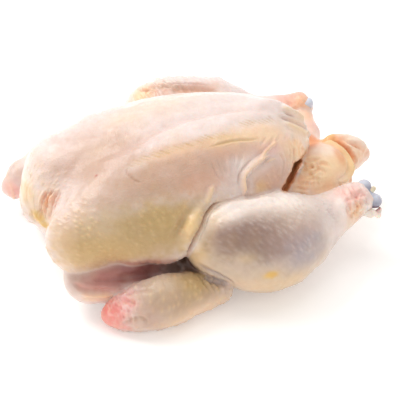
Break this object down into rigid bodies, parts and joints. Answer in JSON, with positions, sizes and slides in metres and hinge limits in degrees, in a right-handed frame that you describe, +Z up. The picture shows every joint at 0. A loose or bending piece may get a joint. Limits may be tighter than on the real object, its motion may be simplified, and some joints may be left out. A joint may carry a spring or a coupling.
{
  "type": "whole raw chicken",
  "caption": "Whole raw chicken, plucked and drawn, lying breast up on its back with legs and wings folded against the body.",
  "frame": {"origin": "middle of the box round the bird, at the height of the surface that it lies on", "axes": "+X from the neck end to the tail, +Y across the bird to its far side, +Z up through the breast"},
  "size_m": [0.2406, 0.195, 0.0985],
  "materials": {
    "raw_skin": "moist raw chicken skin, pale cream to pink, softly glossy"
  },
  "bodies": {
    "root": {"chicken": "raw_skin"}
  },
  "joints": []
}
